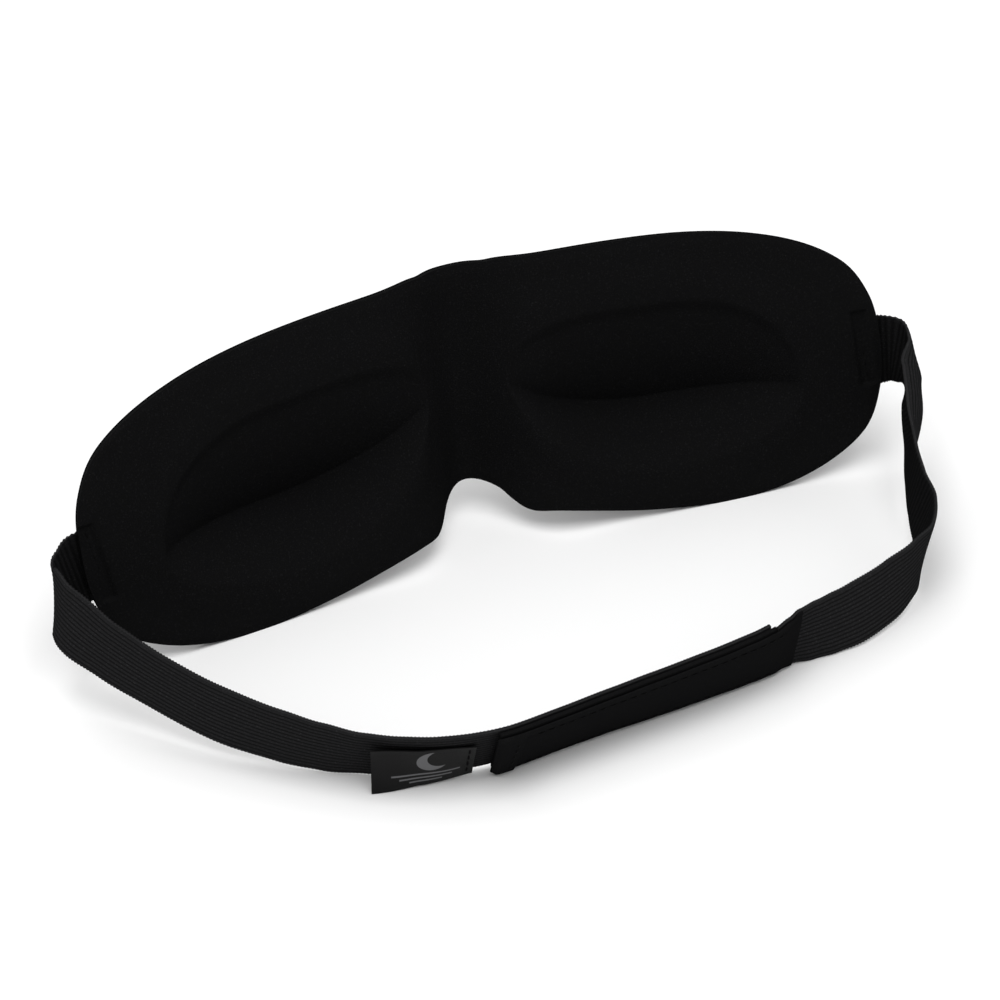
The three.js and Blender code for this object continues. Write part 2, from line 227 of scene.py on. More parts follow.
# %% [markdown]
# ## Smooth lines
# A cut pattern is a few points with a smooth line through them. The strap's way round the
# floor is the same thing in space. The line between two points is a cubic whose slopes come
# from their neighbours; a spacing power of 0 treats all spans alike and 0.5 suits uneven ones.

# %% smooth lines
SPAN_STEPS = 40


def smooth_line(points, power):
    """Close points on a smooth line through the given ones."""
    p = np.array(points, float)
    p = np.vstack([2 * p[0] - p[1], p, 2 * p[-1] - p[-2]])
    t = np.linspace(0, 1, SPAN_STEPS, endpoint=False)[:, None]
    line = []
    for a, b, c, d in zip(p, p[1:], p[2:], p[3:]):
        first, middle, last = (np.linalg.norm(v) ** power for v in (b - a, c - b, d - c))
        leave = ((b - a) / first - (c - a) / (first + middle)) * middle + (c - b)
        arrive = (c - b) + (-(d - b) / (middle + last) + (d - c) / last) * middle
        line.append((2 * t**3 - 3 * t**2 + 1) * b + (t**3 - 2 * t**2 + t) * leave
                    + (3 * t**2 - 2 * t**3) * c + (t**3 - t**2) * arrive)
    line.append(p[-2][None])
    return np.vstack(line)


def lengths_along(line):
    """How far along the line each of its points is."""
    return np.concatenate([[0], np.cumsum(np.linalg.norm(np.diff(line, axis=0), axis=1))])


def at_share(line, share):
    """Points at shares of a line's length."""
    length = lengths_along(line)
    return np.stack([np.interp(share * length[-1], length, column) for column in line.T], -1)


print("a straight test line has", len(smooth_line([(0, 0), (1, 0), (2, 0)], 0)), "points")

# %% [markdown]
# ## The mask's flat outline
# The real mask is die-cut from a moulded sheet. The right half of its outline is one smooth
# line, from the notch over the nose along the lobe, round the tip and back along the brow. Each
# end has a mirrored neighbour past the middle, so the two halves meet without a corner. The
# line is cut in three, and the grid between the edges is blended from all of them.

# %% outline
HALF_WIDTH, HEIGHT = 113, 79.2
OUTLINE = [(0, 11.8), (7, 10.9), (12.5, 6.9), (22, 7.2), (46, 2.2), (70, 0), (90, 3.4), (105.4, 12),
           (111.6, 24), (113, 38), (111, 51), (103.4, 62.2), (86, 71), (60, 76.6), (20, 79.2),
           (8, 77.4), (0, 76.2)]
LOWER_CORNER, UPPER_CORNER = 7, 11
COLUMNS, ROWS = 340, 150
CENTRE_CROWDING = 1.15

past_notch, past_brow = ((-x, rise) for x, rise in (OUTLINE[1], OUTLINE[-2]))
whole = smooth_line([past_notch, *OUTLINE, past_brow], 0)[SPAN_STEPS:-SPAN_STEPS]
lower, tip, brow = np.split(whole, [LOWER_CORNER * SPAN_STEPS, UPPER_CORNER * SPAN_STEPS])
lower, tip, brow = np.vstack([lower, tip[:1]]), np.vstack([tip, brow[:1]]), brow[::-1]
across = np.linspace(-1, 1, COLUMNS + 1)[:, None]
up = np.linspace(0, 1, ROWS + 1)[None, :]
side = np.abs(across) ** CENTRE_CROWDING
brow_at, lower_at, tip_at = at_share(brow, side), at_share(lower, side), at_share(tip, up)
middle_rise = OUTLINE[0][1] + up * (OUTLINE[-1][1] - OUTLINE[0][1])
corner_low, corner_high = np.array(OUTLINE[LOWER_CORNER]), np.array(OUTLINE[UPPER_CORNER])
straight = side * (corner_low[0] + up * (corner_high[0] - corner_low[0]))
X = lower_at[..., 0] + up * (brow_at[..., 0] - lower_at[..., 0]) + side * tip_at[..., 0] - straight
straight = (1 - side) * middle_rise + side * (corner_low[1] + up * (corner_high[1] - corner_low[1]))
RISE = (lower_at[..., 1] + up * (brow_at[..., 1] - lower_at[..., 1])
        + (1 - side) * middle_rise + side * tip_at[..., 1] - straight)
X = X * np.sign(across)
TO_EDGE = np.minimum(np.minimum(up, 1 - up) * HEIGHT, (1 - np.abs(across)) * HALF_WIDTH)
print("the flat mask is", round(float(np.ptp(X)), 1), "by", round(float(np.ptp(RISE)), 1), "mm")

# %% [markdown]
# ## The moulded shape
# Heat and a mould give the flat sheet its shape: a ridge for the nose, two deep eye cups, and
# tips that curl toward the wearer. Each is a height over the flat sheet. A cup is a pocket with
# a lens-shaped mouth. From the upper rim a small step leads to a floor that slopes deeper going
# down. It ends in a crisp crease, and a lower wall comes back up to the sheet. A second, softer
# crease crosses that wall, and low broad waves keep it all from looking machined.

# %% relief
LEAN = math.radians(18.3)
TIP_WRAP = 8.2
NOSE_RIDGE, NOSE_RIDGE_TOP, NOSE_WIDTH = 18.9, 8.4, 12.2
CUP_X, CUP_HALF_WIDTH, CUP_DEPTH = 51, 39.5, 15
CREASE_RISE, CREASE_LIFT, CREASE_TURN = 28.6, 0.0075, 56
FLOOR_HEIGHT, WALL_HEIGHT = 31, 16.5
CUP_SQUARENESS, FLOOR_BEND, WALL_BEND, END_BEND = 2.2, 1.6, 1.35, 1.7
RIM_STEP, RIM_STEP_WIDTH = 2.0, 4.5
FLATTEST_HEIGHT = 0.5
ROLL_HEIGHT, ROLL_SPREAD, ROLL_ARCH = 0.45, 5, 0.5
ROLL_EASE, ROLL_END = 84, 96
SECOND_RISE, SECOND_LIFT, SECOND_TURN = 18.8, 0.008, 66
SECOND_DEPTH, SECOND_WIDTH, LEFT_SECOND_SHARE = 0.65, 1.3, 0.5
SECOND_SPAN = (28, 42, 78, 87)
BROAD_WAVE, SMALL_WAVE = 0.22, 0.12
OUTWARD = np.array([0, math.cos(LEAN), -math.sin(LEAN)])


def hill(t, width):
    """A soft hill, 1 high at t = 0."""
    return np.exp(-((t / width) ** 2))


def cup_relief(x, rise):
    """How far the mould pushes the sheet away from the wearer."""
    beside = (np.abs(x) - CUP_X) / CUP_HALF_WIDTH
    above = rise - CREASE_RISE - CREASE_LIFT * np.maximum(CREASE_TURN - np.abs(x), 0) ** 2
    arch = np.clip(1 - np.abs(beside) ** CUP_SQUARENESS, 0, 1) ** (1 / CUP_SQUARENESS)
    floor_height, wall_height = (np.maximum(arch * full, FLATTEST_HEIGHT)
                                 for full in (FLOOR_HEIGHT, WALL_HEIGHT))
    on_floor = np.clip(1 - above / floor_height, 0, 1)
    on_wall = np.clip(1 + above / wall_height, 0, 1)
    step = RIM_STEP * arch * smooth(on_floor * floor_height / RIM_STEP_WIDTH)
    deepest = CUP_DEPTH * arch**END_BEND
    bowl = np.where(above > 0, step + (deepest - step) * on_floor**FLOOR_BEND, deepest * on_wall**WALL_BEND)
    outside = np.where(above > 0, above - floor_height, -above - wall_height)
    fade = smooth(arch / ROLL_ARCH) * (1 - smooth((np.abs(x) - ROLL_EASE) / (ROLL_END - ROLL_EASE)))
    roll = ROLL_HEIGHT * fade * hill(outside - ROLL_SPREAD, ROLL_SPREAD)
    return bowl - roll + second_crease(x, rise)


def second_crease(x, rise):
    """The softer crease that crosses each lower wall. It is shallower on the left."""
    line = SECOND_RISE + SECOND_LIFT * (np.abs(x) - SECOND_TURN) ** 2
    crease = SECOND_DEPTH * hill(rise - line, SECOND_WIDTH) * between(np.abs(x), *SECOND_SPAN)
    return crease * np.where(x > 0, 1, LEFT_SECOND_SHARE)


def waves(x, rise):
    """Low waves, as soft foam keeps from handling. No two of their lengths fit together."""
    broad = np.sin(x / 9.1 + 0.8 * np.sin(rise / 13)) * np.sin(rise / 11.3 + x / 37)
    small = np.sin(x / 4.7 + rise / 6.1) * np.sin(rise / 5.3 - x / 21)
    return BROAD_WAVE * broad + SMALL_WAVE * small


# The two tacks: where the middle of each is, how far it leans over, and half its length.
TACKS = {-1: (109.3, 33.2, 0.17, 10.6), 1: (108.2, 35.8, -0.05, 10.4)}
GROOVE_HALF_WIDTH, GROOVE_DEPTH, GROOVE_SIDE = 2.0, 0.95, 0.8


def tack_groove(x, rise):
    """The grooves that the strap's stitching presses into the lining."""
    groove = 0 * x * rise
    for which, (at, middle, slant, half_length) in TACKS.items():
        beside = np.abs(which * x - at - slant * (rise - middle))
        beyond = np.abs(rise - middle) - half_length
        groove = groove + (smooth((GROOVE_HALF_WIDTH - beside) / GROOVE_SIDE + 0.5)
                           * smooth(0.5 - beyond / GROOVE_SIDE))
    return GROOVE_DEPTH * groove


def mask_point(x, rise, depth):
    """A point in the sheet. Depth is 0 on the wearer's face of the lining and grows outward."""
    share = rise / HEIGHT
    ridge = (NOSE_RIDGE + share * (NOSE_RIDGE_TOP - NOSE_RIDGE)) * hill(x, NOSE_WIDTH)
    wrap = -TIP_WRAP * (x / HALF_WIDTH) ** 2
    flat = np.stack([x, rise * math.sin(LEAN) + ridge + wrap, rise * math.cos(LEAN)], -1)
    return flat + (depth + cup_relief(x, rise))[..., None] * OUTWARD


print("cup depth", round(float(cup_relief(X, RISE).max()), 1), "mm")

# %% [markdown]
# ## Lining, foam and cover
# Three sheets are pressed together: a brushed knit toward the face, the foam, and a smooth knit
# outside. The die squeezes the cut edge thinner and leaves the foam a hair short of the knits.
# Simulating cloth would not help here, because the foam holds the knits in the mould's shape.

# %% mask layers
THICKNESS, EDGE_THICKNESS, KNIT = 3.1, 2.3, 0.45
EDGE_SOFTENING, WAVE_SOFTENING = 3.5, 8
FOAM_INSET, INSET_SHARE = 0.25, 1 / 60


def layer(depth, inset):
    """One face of a layer: its depth in the sheet, squeezed at the cut edge and drawn in by inset."""
    thinnest = EDGE_THICKNESS / THICKNESS
    squeeze = thinnest + (1 - thinnest) * smooth(TO_EDGE / EDGE_SOFTENING)
    through = THICKNESS / 2 + (depth - THICKNESS / 2) * squeeze
    inner_share = 1 - depth / THICKNESS
    through = through + inner_share * tack_groove(X, RISE)
    through = through + waves(X, RISE) * smooth(TO_EDGE / WAVE_SOFTENING)
    x = X - inset * np.sign(X) * smooth(1 - (1 - np.abs(across)) / INSET_SHARE)
    rise = RISE + inset * (smooth(1 - up / INSET_SHARE) - smooth(1 - (1 - up) / INSET_SHARE))
    grid = mask_point(x, rise, through)
    grid[..., 2] = np.maximum(grid[..., 2], 0)
    return grid


flat_uv = np.stack([X, RISE], -1)
lining = sheet_of("mask_lining", layer(0, 0), layer(KNIT, 0), flat_uv)
foam = sheet_of("mask_foam", layer(KNIT, FOAM_INSET), layer(THICKNESS - KNIT, FOAM_INSET), flat_uv)
cover = sheet_of("mask_cover", layer(THICKNESS - KNIT, 0), layer(THICKNESS, 0), flat_uv)
for piece, node, slot in ((lining, "face_lining", "lining"), (foam, "foam_core", "foam"),
                          (cover, "front_cover", "cover")):
    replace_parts(piece, node)
    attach(piece, "mask")
print("each mask layer has", len(lining.data.polygons), "faces")

# %% [markdown]
# ## The strap's way round
# The strap stands on its edge. A route is a smooth line through its middle, with the lean of
# its width at each row. From a route and a length along it, the strap's directions follow:
# along it, up its width, and outward from its face.

# %% routes
STRAP_WIDTH, ELASTIC = 19, 1.3
TAPE_GAP, LOOP_THICKNESS, HOOK_THICKNESS = 0.2, 1.5, 1.2
TAB_LENGTH, TAB_RISE, LEFT_TAB_DROP, TAB_CLEARANCE = 12, 33.5, 1.5, 0.1
LEFT_ROWS = [
    (-117.4, 3.9, 18.9, 7), (-121.2, 0.6, 17.7, 0), (-122.6, -5, 17.6, -9), (-121, -11, 16.2, -12),
    (-115.6, -20, 12.8, -4), (-106.6, -31.8, 8.4, 1), (-96, -44.2, 4.4, 2), (-84, -55.7, 1.9, 7),
    (-75.4, -62.7, 0.8, 12), (-66.4, -68.9, 0.6, 19), (-58, -73.7, 0.9, 22), (-50, -77.2, 1.2, 23.5),
    (-41.5, -79.4, 1.5, 24.5), (-34, -80.2, 1.7, 25), (-20, -78.9, 1.7, 25), (-5, -77.4, 1.7, 24),
    (7, -76.5, 1.6, 22), (23, -75.1, 1.5, 20), (36, -73.5, 1.3, 18), (41.6, -72.6, 1.2, 16),
    (46, -71.3, 1, 12), (51, -69.6, 0.6, 7)]
RIGHT_ROWS = [
    (57.5, -70.6, 0.2, 0), (64, -70, 0.3, -5), (71.4, -68.7, 0.6, -9), (81.5, -65.3, 1.2, -7.5),
    (91, -60.5, 2.2, 0), (97.4, -54.6, 3.2, 11), (101.3, -47, 4.6, 12), (103.2, -38.3, 6.9, 6),
    (106.2, -28.5, 10, 2), (110.4, -17.5, 14, -2.5), (114.6, -7.2, 18, -3), (118, -1.2, 20.9, 0),
    (117.4, 3.4, 21.4, 7)]
TAB_ROWS, LABEL_ROW, LEFT_END_ROW, PEEL_ROW = 3, 12, 19, 3


class Route:
    """A route from rows of x, y, z and lean in radians."""

    def __init__(self, rows):
        rows = np.array(rows, float)
        self.line = smooth_line(rows[:, :3], 0.5)
        self.length = lengths_along(self.line)
        slope = np.gradient(self.line, axis=0)
        self.along = slope / np.linalg.norm(slope, axis=1)[:, None]
        place = np.arange(len(self.line)) / SPAN_STEPS
        row = np.minimum(place.astype(int), len(rows) - 2)
        self.lean = rows[row, 3] + smooth(place - row) * (rows[row + 1, 3] - rows[row, 3])

    def at_row(self, row):
        """The length at which the line passes a row."""
        return self.length[SPAN_STEPS * row]

    def frames(self, lengths):
        """The middle, along, width and outward directions at some lengths."""
        middle, along = (np.stack([np.interp(lengths, self.length, c) for c in a.T], -1)
                         for a in (self.line, self.along))
        along = along / np.linalg.norm(along, axis=-1, keepdims=True)
        lean = np.interp(lengths, self.length, self.lean)[..., None]
        level = np.stack([along[..., 1], -along[..., 0], 0 * along[..., 0]], -1)
        level = level / np.linalg.norm(level, axis=-1, keepdims=True)
        upright = np.cross(level, along)
        width = upright * np.cos(lean) + level * np.sin(lean)
        outward = level * np.cos(lean) - upright * np.sin(lean)
        return middle, along, width, outward

    def grid(self, lengths, beside, off):
        """Points at lengths, and beside and off the middle line, as (lengths, beside) grids."""
        middle, _, width, outward = (a[:, None, :] for a in self.frames(lengths))
        return middle + width * np.asarray(beside)[..., None] + outward * np.asarray(off)[..., None]


def standing(rows):
    """Rows of a strap whose lower edge is at a height over the floor."""
    made = []
    for x, y, lift, lean in rows:
        a = math.radians(lean)
        made.append((x, y, lift + STRAP_WIDTH / 2 * math.cos(a) + ELASTIC / 2 * abs(math.sin(a)), a))
    return made


def tab(which):
    """The rows of the strap's end on the cover, from its cut end to the mask's edge."""
    x = which * (HALF_WIDTH - TAB_LENGTH * np.array([1, 0.5, 0]))
    rise = TAB_RISE - (LEFT_TAB_DROP if which < 0 else 0)
    places = mask_point(x, np.full(3, rise), np.full(3, THICKNESS + TAB_CLEARANCE + ELASTIC / 2))
    return [(*place, LEAN) for place in places]


left_route = Route(tab(-1) + standing(LEFT_ROWS))
left_end = left_route.at_row(TAB_ROWS + LEFT_END_ROW)
label_seam = left_route.at_row(TAB_ROWS + LABEL_ROW)
hook_end = left_route.length[-1]
loop_inner = ELASTIC / 2 + TAPE_GAP
loop_outer = loop_inner + LOOP_THICKNESS
hook_inner = loop_outer + TAPE_GAP
hook_outer = hook_inner + HOOK_THICKNESS
under_hook = loop_outer - ELASTIC / 2

seam_start = left_end + 1
seam_lengths = np.array([seam_start, (seam_start + hook_end) / 2, hook_end])
middle, _, width, outward = left_route.frames(seam_lengths)
seam_rows = [(*(m + o * under_hook), math.atan2(-o[2], w[2])) for m, w, o in zip(middle, width, outward)]
right_route = Route(seam_rows + standing(RIGHT_ROWS) + tab(1)[::-1])
peel_at = right_route.at_row(PEEL_ROW)
right_end = right_route.length[-1]
print("left strap", round(float(left_end)), "mm, right strap", round(float(right_end)), "mm")

# %% [markdown]
# ## Ribbed elastic
# Woven elastic has fine ribs along its outer face, one over each rubber thread, and flat
# cross threads inside. The weft turns back at each side in tiny loops, so the edges look
# scalloped. The ribs and scallops are in the mesh, because they show on the outline.

# %% elastic straps
RIBS, RIB_HEIGHT, RIB_STEPS = 15, 0.13, 4
SCALLOP_PITCH, SCALLOP, WEFT_WAVE = 0.9, 0.16, 0.03
EDGE_BAND, EDGE_THINNING = 0.1, 0.35
BULGE = 4.2
BULGE_SPAN = (6, 16, 24, 46)


def elastic(name, route, start, end, bulge=None):
    """A stretch of ribbed elastic between two lengths of a route."""
    count = int((end - start) / (SCALLOP_PITCH / 2))
    lengths = np.linspace(start, end, count + 1)
    share = np.linspace(-1, 1, RIBS * RIB_STEPS + 1)[None, :]
    edge = smooth((np.abs(share) - 1) / EDGE_BAND + 1)
    weft = np.cos(2 * np.pi * lengths / SCALLOP_PITCH)[:, None]
    beside = share * STRAP_WIDTH / 2 + np.sign(share) * SCALLOP * weft * edge
    rib = RIB_HEIGHT * np.cos(np.pi * RIBS * (share + 1) / 2) ** 2
    thin = 1 - EDGE_THINNING * edge
    middle = bulge(lengths)[:, None] * (1 - share**2) if bulge else 0 * lengths[:, None]
    outer = middle + (ELASTIC / 2 - rib) * thin
    inner = middle - (ELASTIC / 2 + WEFT_WAVE * weft) * thin
    uv = np.stack(np.broadcast_arrays(lengths[:, None], share * STRAP_WIDTH / 2), -1)
    return sheet_of(name, route.grid(lengths, beside, outer), route.grid(lengths, beside, inner), uv)


def right_bulge(lengths):
    """Past the mask's right edge the strap is cupped: its middle stands out from its edges."""
    return BULGE * between(right_end - TAB_LENGTH - lengths, *BULGE_SPAN)


PAST_PEEL = 12
split = peel_at + PAST_PEEL
left_elastic = elastic("left_elastic", left_route, 0, left_end)
right_elastic = elastic("right_elastic", right_route, split, right_end, right_bulge)
closure_elastic = elastic("closure_elastic", right_route, 0, split)
for piece, nodes in ((left_elastic, ("strap_end_left", "strap_left")),
                     (right_elastic, ("strap_end_right", "strap_right")),
                     (closure_elastic, ("strap_at_closure",))):
    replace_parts(piece, *nodes)
print("the left elastic has", len(left_elastic.data.polygons), "faces")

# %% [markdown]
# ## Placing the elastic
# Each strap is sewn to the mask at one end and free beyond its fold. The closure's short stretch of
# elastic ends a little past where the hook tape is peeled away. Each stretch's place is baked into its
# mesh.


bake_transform(left_elastic)
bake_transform(right_elastic)
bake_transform(closure_elastic)

# %% [markdown]
# ## The closure's tapes
# The loop tape is a soft pile sewn along the left strap's end. The hook tape is stiffer and
# smoother, with a flat selvage along each side, and its tip is folded back on itself so that
# a finger can find it.

# %% tapes
TAPE_WIDTH = STRAP_WIDTH - 0.4
TAPE_COLUMNS = 48
PAST_LABEL, LOOP_BACK, LOOP_SHORT = 4.5, 0.8, 0.1
FOLD_LENGTH, FOLD_RISE, FOLD_SOFTNESS = 7, 0.55, 1.2
HOOK_TAPER, HOOK_THINNEST = 8, 0.25
HOOK_EDGE, HOOK_EDGE_BAND, TIP_DROP, TIP_BAND = 0.7, 0.1, 1.1, 1.8
PILE, LOOP_EDGE, LOOP_EDGE_BAND = 0.12, 0.5, 0.07
SEAM_SHARE, SEAM_DENT, SEAM_WIDTH, HOOK_WAVE = 0.83, 0.28, 0.5, 0.06
hook_start = label_seam + PAST_LABEL
loop_start = hook_start + LOOP_BACK


def tape(name, start, end, inner, outer, step):
    """A flat tape on the left strap's route. inner and outer are functions of length and share."""
    lengths = np.linspace(start, end, int((end - start) / step) + 1)[:, None]
    share = np.linspace(-1, 1, TAPE_COLUMNS + 1)[None, :]
    uv = np.stack(np.broadcast_arrays(lengths, share * TAPE_WIDTH / 2), -1)
    beside = share * TAPE_WIDTH / 2 + 0 * lengths
    faces = [left_route.grid(lengths[:, 0], beside, f(lengths, share)) for f in (outer, inner)]
    return sheet_of(name, *faces, uv)


def flat_face(off):
    """A face that is flat, off the route's middle line by a fixed distance."""
    return lambda lengths, share: off + 0 * lengths * share


def loop_face(lengths, share):
    """The pile: an uneven soft surface that drops at both long edges."""
    pile = PILE * np.sin(lengths * 5.1 + 3 * np.sin(share * 17)) * np.sin(share * 31 + lengths)
    edge = LOOP_EDGE * smooth((np.abs(share) - 1) / LOOP_EDGE_BAND + 1)
    return loop_outer - PILE + pile - edge


def hook_face(lengths, share):
    """The back of the hook tape: thick at the folded tip, dented along its seams, thin at its end."""
    fold = 1 - smooth((lengths - hook_start - FOLD_LENGTH) / FOLD_SOFTNESS + 1)
    edge = HOOK_EDGE * smooth((np.abs(share) - 1) / HOOK_EDGE_BAND + 1)
    tip_drop = TIP_DROP * smooth(1 - (lengths - hook_start) / TIP_BAND) ** 2
    thinning = (HOOK_THICKNESS - HOOK_THINNEST) * smooth((lengths - hook_end) / HOOK_TAPER + 1)
    dent = SEAM_DENT * hill((np.abs(share) - SEAM_SHARE) * TAPE_WIDTH / 2, SEAM_WIDTH)
    wave = HOOK_WAVE * np.sin(lengths / 3.1) * np.sin(share * 4)
    return hook_outer + FOLD_RISE * fold - edge - tip_drop - thinning - dent * (1 - fold) + wave


loop_side = tape("loop_side", loop_start, seam_start - LOOP_SHORT, flat_face(loop_inner), loop_face, 0.5)
hook_side = tape("hook_side", hook_start, hook_end, flat_face(hook_inner), hook_face, 0.35)
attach(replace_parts(loop_side, "loop_tape"), "left_strap")
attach(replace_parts(hook_side, "hook_tape"), "closure")
print("the hook tape is", round(float(hook_end - hook_start)), "mm long")

# %% [markdown]
# ## The care label
# A satin tag, sewn down at one end under the edge of the tapes. Its free end flares away from
# the strap and bends a little, as a stiff woven ribbon does.

# %% label
LABEL_LENGTH, LABEL_WIDTH, LABEL_THICKNESS = 26, 15, 0.32
LABEL_OFF, CURL, CURL_LENGTH, LABEL_WAVE = 0.9, 0.9, 12, 0.12
LABEL_STEPS, LABEL_COLUMNS = 89, 52
drop = (LABEL_WIDTH - STRAP_WIDTH) / 2
middle, _, width, outward = (a[0] for a in left_route.frames(np.array([label_seam])))
seam_place = middle + width * drop + outward * (ELASTIC / 2 + LABEL_OFF)
label_route = Route([(-67, -72.9, 7.7, math.radians(4)), (-54.5, -77.6, 7.8, math.radians(15)),
                     (*seam_place, math.radians(24.5))])
label_end = label_route.length[-1]
lengths = np.linspace(label_end - LABEL_LENGTH, label_end, LABEL_STEPS + 1)
share = np.linspace(-1, 1, LABEL_COLUMNS + 1)[None, :]
from_free_end = (lengths - lengths[0])[:, None]
curl = (CURL * (1 - smooth(from_free_end / CURL_LENGTH)) * share**2
        + LABEL_WAVE * np.sin(from_free_end / 2.3 + share * 2))
beside = share * LABEL_WIDTH / 2 + 0 * from_free_end
uv = np.stack(np.broadcast_arrays(from_free_end, beside), -1)
tag = sheet_of("satin_tag", label_route.grid(lengths, beside, curl + LABEL_THICKNESS / 2),
               label_route.grid(lengths, beside, curl - LABEL_THICKNESS / 2), uv)
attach(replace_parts(tag, "care_label"), "label")
print("the label is", LABEL_LENGTH, "by", LABEL_WIDTH, "mm")

# %% [markdown]
# ## Stitching
# Each stitch is a short length of thread that comes up, lies on the surface and goes down
# again. A seam is a row of them in one mesh, each a thin tube on a low arch.

# %% stitches
THREAD, ARCH, STITCH = 0.25, 0.26, 3.0
THREAD_SINK, THREAD_END_SHARE, STITCH_GAP = 0.18, 0.55, 0.22
TUBE_SIDES, TUBE_RINGS = 8, 9
ALONG_STEPS, ACROSS_STEPS = 120, 60


def stitches(name, middles, normals, nodes, body):
    """A seam along close points: one arched tube for each stitch."""
    length = lengths_along(middles)
    count = max(2, round(length[-1] / STITCH))
    vertices, faces = [], []
    turn = np.linspace(0, 2 * np.pi, TUBE_SIDES, endpoint=False)
    for i in range(count):
        s = (i + np.linspace(STITCH_GAP / 2, 1 - STITCH_GAP / 2, TUBE_RINGS)) / count * length[-1]
        centre, normal = (np.stack([np.interp(s, length, c) for c in a.T], -1) for a in (middles, normals))
        rise = np.sin(np.linspace(0, np.pi, TUBE_RINGS))[:, None]
        centre = centre + normal * (ARCH * rise - THREAD_SINK)
        along = np.gradient(centre, axis=0)
        along /= np.linalg.norm(along, axis=1)[:, None]
        beside = np.cross(along, normal)
        beside /= np.linalg.norm(beside, axis=1)[:, None]
        above = np.cross(beside, along)
        radius = THREAD * (THREAD_END_SHARE + (1 - THREAD_END_SHARE) * rise)
        ring = beside[:, None] * np.cos(turn)[:, None] + above[:, None] * np.sin(turn)[:, None]
        first = len(vertices) * TUBE_RINGS * TUBE_SIDES
        vertices.append((centre[:, None] + ring * radius[:, None]).reshape(-1, 3))
        index = first + np.arange(TUBE_RINGS * TUBE_SIDES).reshape(TUBE_RINGS, TUBE_SIDES)
        after = np.roll(index, -1, 1)
        faces += np.stack([index[:-1], after[:-1], after[1:], index[1:]], -1).reshape(-1, 4).tolist()
        faces += [index[0, ::-1].tolist(), index[-1].tolist()]
    made = link_mesh(name, placed(np.concatenate(vertices)), faces)
    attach(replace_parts(made, *nodes), body)
    return made


def along_route(route, start, end, beside, off):
    """Points and normals of a seam along a route."""
    lengths = np.linspace(start, end, ALONG_STEPS)
    _, _, _, outward = route.frames(lengths)
    return route.grid(lengths, [[beside]], [[off]])[:, 0], outward


def across_route(route, length, low, high, off):
    """Points and normals of a seam across a route's width."""
    lengths = np.full(1, length)
    _, _, _, outward = route.frames(lengths)
    beside = np.linspace(low, high, ACROSS_STEPS)[None, :]
    return route.grid(lengths, beside, [[off]])[0], np.repeat(outward, ACROSS_STEPS, 0)


def on_lining(which):
    """Points and normals of the tack on the wearer's side, down in its groove."""
    at, centre, slant, half_length = TACKS[which]
    rise = np.linspace(centre - half_length + 1, centre + half_length - 1, ACROSS_STEPS)
    x = which * (at + slant * (rise - centre))
    sunk = np.full(ACROSS_STEPS, GROOVE_DEPTH + 0.2)
    return mask_point(x, rise, sunk), np.repeat(-OUTWARD[None], ACROSS_STEPS, 0)


INSET = TAPE_WIDTH / 2 - 1.6
TACK_FROM_END = 3.5
seam_edge = seam_start + 1.5
run = hook_start + FOLD_LENGTH + 2
reach = STRAP_WIDTH / 2 - 1
tip_seam = hook_start + 4.5
threads = [
    stitches("hook_threads_upper", *along_route(left_route, run, seam_edge, INSET, hook_outer - 0.2),
             ["hook_stitch_upper"], "closure"),
    stitches("hook_threads_lower", *along_route(left_route, run, seam_edge, -INSET, hook_outer - 0.2),
             ["hook_stitch_lower"], "closure"),
    stitches("hook_threads_seam", *across_route(left_route, seam_edge, -INSET, INSET, hook_outer - 0.4),
             ["hook_stitch_seam"], "closure"),
    stitches("hook_threads_tip",
             *across_route(left_route, tip_seam, -INSET, INSET, hook_outer + FOLD_RISE),
             ["hook_stitch_tip"], "closure"),
    stitches("loop_threads", *across_route(left_route, loop_start + 1, -INSET, INSET, loop_outer - 0.1),
             ["loop_stitch"], "left_strap"),
    stitches("tag_threads",
             *across_route(label_route, label_end - 1.6, 1 - LABEL_WIDTH / 2, LABEL_WIDTH / 2 - 1,
                           LABEL_THICKNESS / 2), ["label_stitch"], "label"),
]
for word, which, route, length in (("left", -1, left_route, TAB_LENGTH - TACK_FROM_END),
                                   ("right", 1, right_route, right_end - TAB_LENGTH + TACK_FROM_END)):
    seam = across_route(route, length, -reach, reach, ELASTIC / 2 - 0.05)
    threads.append(stitches(f"{word}_tack_front", *seam, [f"tack_{word}_front"], "mask"))
    threads.append(stitches(f"{word}_tack_lining", *on_lining(which), [f"tack_{word}_back"], "mask"))
print(len(threads), "seams")

# %% [markdown]
# ## Materials: shared effects
# Cloth is matt because it is made of fibres. Two effects are shared. The nap is fine noise in
# space, for brushed cloth and loose fibres. The weave is two sets of threads that pass over
# and under each other, laid out on the flat cloth.

# %% node groups
def add(tree, kind, inputs=None, **settings):
    """A node with its settings made and its inputs set or linked."""
    node = tree.nodes.new(kind)
    for key, value in settings.items():
        setattr(node, key, value)
    for key, value in (inputs or {}).items():
        if isinstance(value, bpy.types.NodeSocket):
            tree.links.new(value, node.inputs[key])
        else:
            node.inputs[key].default_value = value
    return node


def calc(tree, operation, a, b=0.0):
    """One Math node's output."""
    return add(tree, "ShaderNodeMath", {0: a, 1: b}, operation=operation).outputs[0]


def new_group(name, inputs, outputs):
    """An empty node group with named sockets, and its input and output nodes."""
    tree = bpy.data.node_groups.new(name, "ShaderNodeTree")
    for socket, value in inputs.items():
        made = tree.interface.new_socket(socket, in_out="INPUT", socket_type="NodeSocketFloat")
        made.default_value = value
    for socket in outputs:
        tree.interface.new_socket(socket, in_out="OUTPUT", socket_type="NodeSocketFloat")
    return tree, tree.nodes.new("NodeGroupInput"), tree.nodes.new("NodeGroupOutput")


